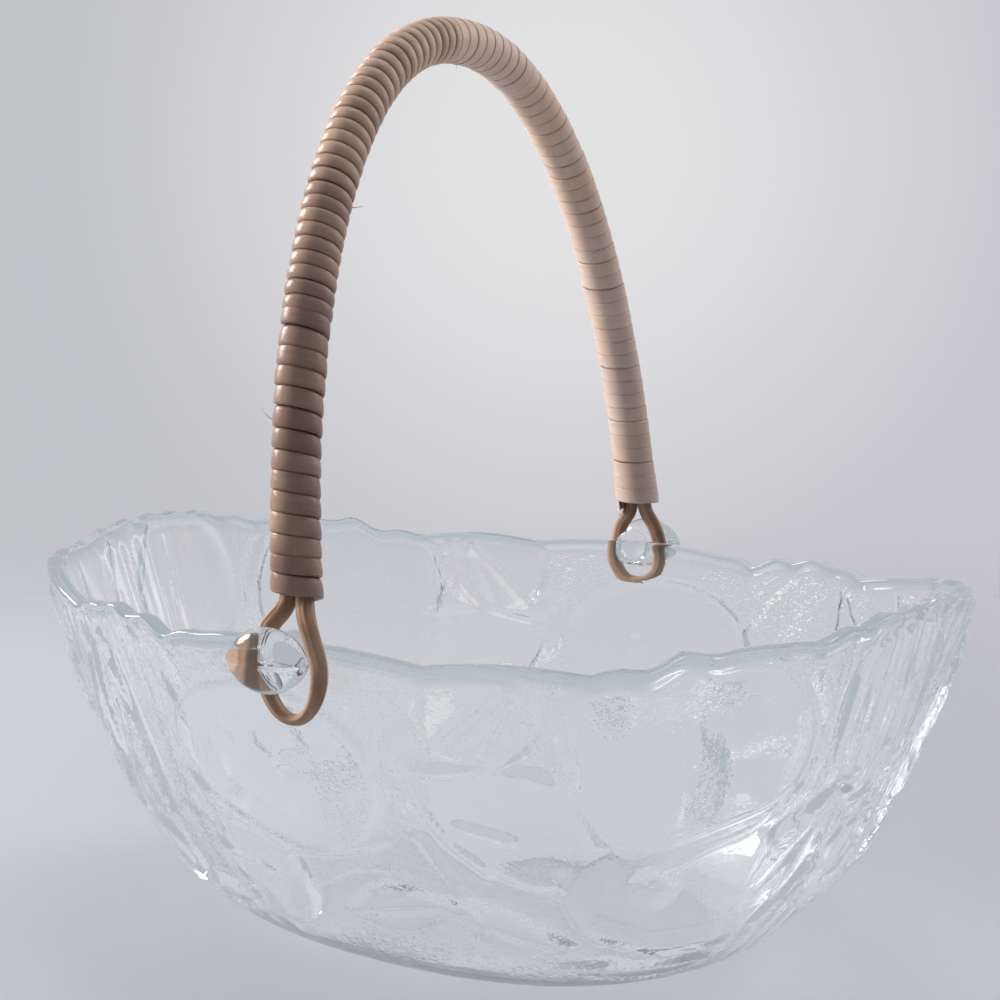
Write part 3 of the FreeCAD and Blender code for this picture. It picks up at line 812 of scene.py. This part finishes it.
# Bindings: flat cane strips wound round the core in close turns, glossy outside. They are aged
# brown and full on the near leg, narrow high ridges up to the top, and pale and nearly flat down
# the far leg. A few fibres of the strips have come loose.
BINDING_RADIUS = 6.25
NEAR_TURNS = 14
NEAR_PITCH = 4.9
CROWN_TURNS = 30
CROWN_PITCH = 3.6
FAR_TURNS = 43
START_ANGLE = 2.2           # where round the core the near strip starts
FLARE_LENGTH = 11.0         # how far from the foot a strip is wider
PER_TURN = 44               # steps along the strip in one turn
SECTION = 16                # points round the strip's section
BREADTH = 1.06              # of the strip, in pitches
BREADTH_CHANGE = 0.03
UNDER_DEPTH = 0.25          # how far the strip's underside sinks, in thicknesses
near_end = NEAR_TURNS * NEAR_PITCH
crown_end = near_end + CROWN_TURNS * CROWN_PITCH


def wound_strip(name, start, end, turns, thickness, fullness, lap, uneven, seed, flare, insets):
    """Strip wound from one length to another. Fullness rounds its back, lap lifts its lower edge."""
    pitch = (end - start) / turns
    count = int(turns * PER_TURN) + 1
    wind = np.linspace(0.0, turns, count)
    rng = np.random.default_rng(seed)
    knots = np.arange(-1, turns + 3)
    drift = np.interp(wind, knots, rng.normal(0.0, uneven, len(knots)))
    change = np.interp(wind, knots, rng.normal(0.0, BREADTH_CHANGE, len(knots)))
    breadth = pitch * (BREADTH + change)
    lift = np.interp(wind, knots, rng.normal(0.0, uneven * 0.35, len(knots)))
    ends = np.clip(np.minimum(wind, turns - wind) * 6, 0.05, 1.0)
    ring = np.linspace(0.0, 2 * math.pi, SECTION + 1)
    side = -np.cos(ring)
    back = np.clip(np.sin(ring), 0.0, None) ** fullness
    under = np.clip(-np.sin(ring), 0.0, None) ** 0.3
    along = start + pitch * insets[0] + (end - start - pitch * sum(insets)) * wind / turns
    length = along[:, None] + drift[:, None] + side[None, :] * breadth[:, None] / 2
    height = thickness * (back[None, :] - UNDER_DEPTH * under[None, :]) * ends[:, None]
    height = height + lift[:, None] - lap * side[None, :]
    wider = flare * np.exp(-(np.minimum(length, far_end - length) / FLARE_LENGTH) ** 2)
    radius = BINDING_RADIUS - thickness - lap + height + wider
    angle = START_ANGLE - 2 * math.pi * wind[:, None] + np.zeros_like(length)
    return finished(name, tube_skin(leaned(on_handle(length, angle, radius)), turns))


# tones of the strips: in the fibres' hollows and the painted shade of each turn's lower edge, on their
# backs and the painted light of its upper edge, and in the blotches
BROWN = [(0.185, 0.098, 0.080, 1), (0.44, 0.27, 0.215, 1), (0.46, 0.32, 0.21, 1)]
CROWN_BROWN = [(0.24, 0.135, 0.108, 1), (0.52, 0.335, 0.265, 1), (0.52, 0.36, 0.24, 1)]
TAN = [(0.50, 0.31, 0.22, 1), (0.84, 0.62, 0.47, 1), (0.82, 0.59, 0.40, 1)]
PALE_TOP = [(0.74, 0.52, 0.42, 1), (0.84, 0.64, 0.55, 1), (0.76, 0.53, 0.38, 1)]
PALE_FOOT = [(0.54, 0.39, 0.34, 1), (0.68, 0.56, 0.51, 1), (0.55, 0.38, 0.25, 1)]
# darker colour along the strips' two edges, where one turn meets the next
EDGE_DARK = (0.09, 0.05, 0.035, 1)


def strip_skin(name, first, last, turns, rough, fibres, edge_darkening, broken):
    """Cane strip: fibres along it, tones that change over its length, painted shade at each turn's lower
    edge and painted light at its upper one, and darker along its two edges.
    """
    made, tree, shader, _ = new_material(name)
    sockets = {"Fibres": fibres, "Blotch Scale": 55.0}
    grain = add(tree, "ShaderNodeGroup", node_tree=cane_effect, inputs=sockets)
    uv = add(tree, "ShaderNodeUVMap", uv_map="UVMap").outputs[0]
    along = add(tree, "ShaderNodeSeparateXYZ", {0: uv}).outputs["X"]
    share = spread(tree, along, 0.0, turns)
    tones = [blend(tree, share, one, other) for one, other in zip(first, last)]
    # painted shade and light: each turn is darker at its lower edge and lighter at its upper one, mixed
    # with the fibres
    grain_and_painted_light = maths(tree, "ADD", grain.outputs["Fibre"], grain.outputs["Painted Light"])
    fibre = blend(tree, maths(tree, "MULTIPLY", grain_and_painted_light, 0.5), tones[0], tones[1])
    part = maths(tree, "MULTIPLY", grain.outputs["Blotch"], 0.7)
    aged = blend(tree, part, fibre, tones[2])
    weak = maths(tree, "MULTIPLY", grain.outputs["Turn"], 0.65)
    toned = blend(tree, weak, aged, tones[0])
    # darker along the strip's two edges, on every turn, or broken up from turn to turn as far as broken is
    # set
    gaps = spread(tree, grain.outputs["Turn"], 0.2, 0.8, 1 - broken, 1.0)
    seam = maths(tree, "MULTIPLY", grain.outputs["Edge"], gaps)
    edge_darkened = blend(tree, maths(tree, "MULTIPLY", seam, edge_darkening), toned, EDGE_DARK)
    tree.links.new(edge_darkened, shader.inputs["Base Color"])
    bumped(tree, shader, grain.outputs["Height"], 0.35, 0.0003)
    shader.inputs["Roughness"].default_value = rough
    return made


near_strip = wound_strip(
    "near_leg_strip", 0.0, near_end, NEAR_TURNS, thickness=1.05, fullness=0.42, lap=0.22,
    uneven=0.28, seed=4, flare=0.35, insets=(0.3, -0.1),
)
near_strip.data.materials.append(strip_skin(
    "brown_cane_strip", BROWN, BROWN, NEAR_TURNS, rough=0.30, fibres=9.0, edge_darkening=0.85, broken=0.0
))
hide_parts("near_leg_binding")
crown_strip = wound_strip(
    "crown_strip", near_end, crown_end, CROWN_TURNS, thickness=1.2, fullness=0.62, lap=0.05,
    uneven=0.12, seed=9, flare=0.0, insets=(-0.1, -0.1),
)
crown_strip.data.materials.append(strip_skin(
    "tan_cane_strip", CROWN_BROWN, TAN, CROWN_TURNS, rough=0.27, fibres=7.0, edge_darkening=0.8, broken=0.0
))
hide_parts("crown_binding")
far_strip = wound_strip(
    "far_leg_strip", crown_end, far_end, FAR_TURNS, thickness=0.40, fullness=0.08, lap=0.08,
    uneven=0.15, seed=6, flare=0.65, insets=(-0.1, 0.3),
)
far_strip.data.materials.append(strip_skin(
    "pale_cane_strip", PALE_TOP, PALE_FOOT, FAR_TURNS, rough=0.42, fibres=9.0, edge_darkening=0.5, broken=1.0
))
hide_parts("far_leg_binding")

# thin splinters that stand off the strips: place along the handle, angle, reach and bend
FIBRES = [(43.0, 3.65, 3.2, 2.6), (98.0, 0.52, 3.0, 1.0), (182.0, 1.57, 2.4, -1.2), (187.0, 1.4, 2.0, 1.5)]
FIBRE_ROOT = 5.6            # distance of their roots from the handle's centre line
FIBRE_RADIUS = 0.16
FIBRE_TAPER = 0.12


def loose_fibres():
    """All the splinters as one piece."""
    whole = bmesh.new()
    for length, angle, reach, bend in FIBRES:
        run = np.linspace(0.0, 1.0, 9)
        out = FIBRE_ROOT + reach * run
        spine = on_handle(length + bend * run ** 2, np.full(run.shape, angle), out)
        turns = np.linspace(0.0, 2 * math.pi, 7)
        around = np.stack([np.cos(turns), 0 * turns, np.sin(turns)], axis=-1)
        thin = (FIBRE_RADIUS - FIBRE_TAPER * run)[:, None, None]
        join(whole, tube_skin(leaned(spine[:, None, :] + around[None, :, :] * thin), 1.0))
    return finished("loose_fibres", whole)


fibres = loose_fibres()
fibres.data.materials.append(strip_skin(
    "fibre_cane", TAN, TAN, 1, rough=0.5, fibres=3.0, edge_darkening=0.0, broken=0.0
))
for strip in (near_strip, crown_strip, far_strip, fibres):
    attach(strip, "handle")

# Floor and surroundings: a plain pale floor that fades into a pale background, and soft light
# from the left, from above and from behind on the right.
FLOOR_COLOUR = (0.39, 0.395, 0.42, 1.0)
LEFT_COLOUR = (0.540, 0.545, 0.575, 1.0)
RIGHT_COLOUR = (0.578, 0.565, 0.610, 1.0)
BRIGHT_COLOUR = (0.76, 0.76, 0.77, 1.0)
BEHIND_COLOUR = (0.30, 0.345, 0.375, 1.0)
BOUNCE_COLOUR = (0.27, 0.27, 0.28, 1.0)
THROUGH_COLOUR = (0.70, 0.70, 0.73, 1.0)
FADE_START = 0.25           # distances over which the floor fades into the background
FADE_END = 0.8

# ways in the room: beyond the basket, to the right of that, and the bright place behind the handle
BEYOND = (-0.4886, 0.8626, -0.1317)
RIGHT = (0.8701, 0.4929, 0.0)
BRIGHT = (-0.4664, 0.8836, 0.0419)


def pale_floor():
    """Round plain floor, clear beyond the place where it has faded out."""
    shape = bmesh.new()
    bmesh.ops.create_circle(shape, cap_ends=True, segments=96, radius=3.0)
    made = finished("floor", shape)
    surface, tree, shader, output = new_material("floor")
    shader.inputs["Base Color"].default_value = FLOOR_COLOUR
    shader.inputs["Roughness"].default_value = 0.6
    places = add(tree, "ShaderNodeTexCoord").outputs["Object"]
    distance = add(tree, "ShaderNodeVectorMath", {0: places}, operation="LENGTH").outputs["Value"]
    far = spread(tree, distance, FADE_START, FADE_END, kind="SMOOTHSTEP")
    path = add(tree, "ShaderNodeLightPath")
    through = maths(tree, "MULTIPLY", path.outputs["Is Transmission Ray"], 0.5)
    bright = add(tree, "ShaderNodeEmission", {"Color": THROUGH_COLOUR}).outputs[0]
    seen = either(tree, through, shader.outputs[0], bright)
    fading = add(tree, "ShaderNodeBsdfTransparent").outputs[0]
    tree.links.new(either(tree, far, seen, fading), output.inputs["Surface"])
    made.data.materials.append(surface)


def facing_way(tree, operation, ways, way):
    """How far each way in the room agrees with, or lies from, one of them."""
    return add(tree, "ShaderNodeVectorMath", {0: ways, 1: way}, operation=operation).outputs["Value"]


def surroundings():
    """Soft pale gradient, brightest behind the handle; less of it falls on the cane and the floor."""
    world = bpy.data.worlds.new("studio")
    bpy.context.scene.world = world
    world.use_nodes = True
    tree = world.node_tree
    background = tree.nodes["Background"]
    ways = add(tree, "ShaderNodeTexCoord").outputs["Generated"]
    beside = facing_way(tree, "DOT_PRODUCT", ways, RIGHT)
    ahead = facing_way(tree, "DOT_PRODUCT", ways, BEYOND)
    apart = facing_way(tree, "DISTANCE", ways, BRIGHT)
    turn = spread(tree, beside, -0.2, 0.2)
    bright = spread(tree, apart, 0.03, 0.27, 1.0, 0.0, "SMOOTHSTEP")
    behind = spread(tree, ahead, 0.72, 0.0, 0.0, 1.0, "SMOOTHSTEP")
    path = add(tree, "ShaderNodeLightPath")
    unseen = maths(tree, "SUBTRACT", 1.0, path.outputs["Is Camera Ray"])
    darker = maths(tree, "MULTIPLY", behind, unseen)
    level = blend(tree, turn, LEFT_COLOUR, RIGHT_COLOUR)
    glowing = blend(tree, bright, level, BRIGHT_COLOUR)
    seen = blend(tree, darker, glowing, BEHIND_COLOUR)
    bounced = blend(tree, path.outputs["Is Diffuse Ray"], seen, BOUNCE_COLOUR)
    tree.links.new(bounced, background.inputs["Color"])
    background.inputs["Strength"].default_value = 1.0


LAMP_AIM = 0.1              # height over the floor that the lamps point at


def soft_lamp(name, place, size, watts, mirrored):
    """Round soft lamp; where it isn't mirrored, the glass and the cane show no image of it."""
    lamp = bpy.data.lights.new(name, "AREA")
    lamp.shape = "DISK"
    lamp.size = size
    lamp.energy = watts
    made = bpy.data.objects.new(name, lamp)
    made.location = place
    made.rotation_euler = (Vector((0, 0, LAMP_AIM)) - Vector(place)).to_track_quat("-Z", "Y").to_euler()
    made.visible_diffuse = not mirrored
    made.visible_glossy = mirrored
    made.visible_transmission = mirrored
    bpy.context.scene.collection.objects.link(made)


pale_floor()
surroundings()
LEFT_LAMP = (-1.14, -0.38, 0.50)
LEFT_SHEEN = (-1.25, -0.05, 0.75)
RIGHT_LAMP = (0.75, 1.05, 0.75)
TOP_LAMP = (-0.1, 0.5, 1.7)
soft_lamp("left_lamp", LEFT_LAMP, size=0.45, watts=26.0, mirrored=False)
soft_lamp("left_sheen", LEFT_SHEEN, size=0.6, watts=10.0, mirrored=True)
soft_lamp("right_lamp", RIGHT_LAMP, size=0.6, watts=7.0, mirrored=False)
soft_lamp("right_sheen", RIGHT_LAMP, size=0.7, watts=3.5, mirrored=True)
soft_lamp("top_lamp", TOP_LAMP, size=0.9, watts=10.0, mirrored=False)
soft_lamp("top_sheen", TOP_LAMP, size=0.9, watts=8.0, mirrored=True)

# Camera: on the near side of the bowl, a little above the rim and turned slightly down, with the
# handle in full.
LENS = 71.69
SENSOR_WIDTH = 36.0
CAMERA_PLACE = (0.2705, -0.4706, 0.1893)
CAMERA_TILT = 82.432
CAMERA_ROLL = 0.041
CAMERA_TURN = 29.528
camera = bpy.data.objects.new("camera", bpy.data.cameras.new("camera"))
camera.data.lens = LENS
camera.data.sensor_width = SENSOR_WIDTH
camera.location = CAMERA_PLACE
camera.rotation_euler = [math.radians(turn) for turn in (CAMERA_TILT, CAMERA_ROLL, CAMERA_TURN)]
bpy.context.scene.collection.objects.link(camera)
bpy.context.scene.camera = camera

bpy.context.scene.view_settings.view_transform = "Standard"
